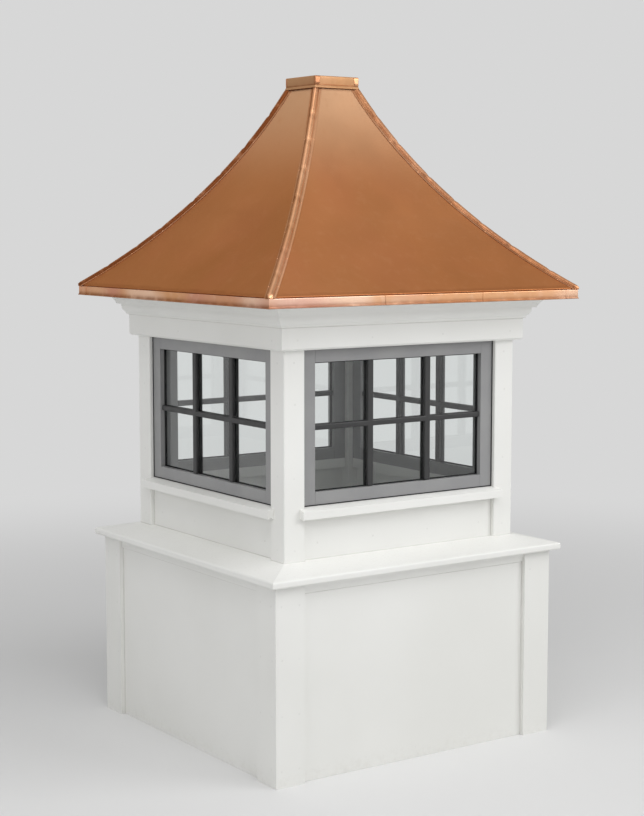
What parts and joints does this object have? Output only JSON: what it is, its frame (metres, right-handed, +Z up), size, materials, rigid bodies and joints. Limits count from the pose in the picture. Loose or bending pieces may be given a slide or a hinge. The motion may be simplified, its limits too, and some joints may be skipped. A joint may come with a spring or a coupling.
{
  "type": "roof cupola",
  "caption": "Square roof cupola: panelled base, glazed body with a window in each face, moulded crown and flared, hipped sheet-copper roof with a small flat cap",
  "frame": {"origin": "centre of the foot of the base, on the surface it stands on", "axes": "+Z up; the front face looks along -Y; +X is to the right seen from the front"},
  "size_m": [1.016, 1.016, 1.8288],
  "materials": {
    "white_trim": "smooth white cellular trim board",
    "white_soffit": "plywood, painted white",
    "grey_sash": "satin mid grey",
    "window_glass": "clear float glass",
    "copper": "bright sheet copper, brushed dull"
  },
  "bodies": {
    "root": {"apron_boards": "white_trim", "base_cap_back": "white_trim", "base_cap_front": "white_trim", "base_cap_left": "white_trim", "base_cap_right": "white_trim", "base_corner_boards": "white_trim", "base_cove_mouldings": "white_trim", "base_wall_back": "white_trim", "base_wall_front": "white_trim", "base_wall_left": "white_trim", "base_wall_right": "white_trim", "corner_post_back_left": "white_trim", "corner_post_back_right": "white_trim", "corner_post_front_left": "white_trim", "corner_post_front_right": "white_trim", "crown_moulding_back": "white_trim", "crown_moulding_front": "white_trim", "crown_moulding_left": "white_trim", "crown_moulding_right": "white_trim", "drip_edge_back": "copper", "drip_edge_front": "copper", "drip_edge_left": "copper", "drip_edge_right": "copper", "frieze_beam_back": "white_trim", "frieze_beam_front": "white_trim", "frieze_beam_left": "white_trim", "frieze_beam_right": "white_trim", "hip_cap_back_left": "copper", "hip_cap_back_right": "copper", "hip_cap_front_left": "copper", "hip_cap_front_right": "copper", "roof_cap": "copper", "roof_deck": "white_soffit", "roof_panel_back": "copper", "roof_panel_front": "copper", "roof_panel_left": "copper", "roof_panel_right": "copper", "window_frame_back": "grey_sash", "window_frame_front": "grey_sash", "window_frame_left": "grey_sash", "window_frame_right": "grey_sash", "window_panes": "window_glass", "window_sills": "white_trim"}
  },
  "joints": []
}
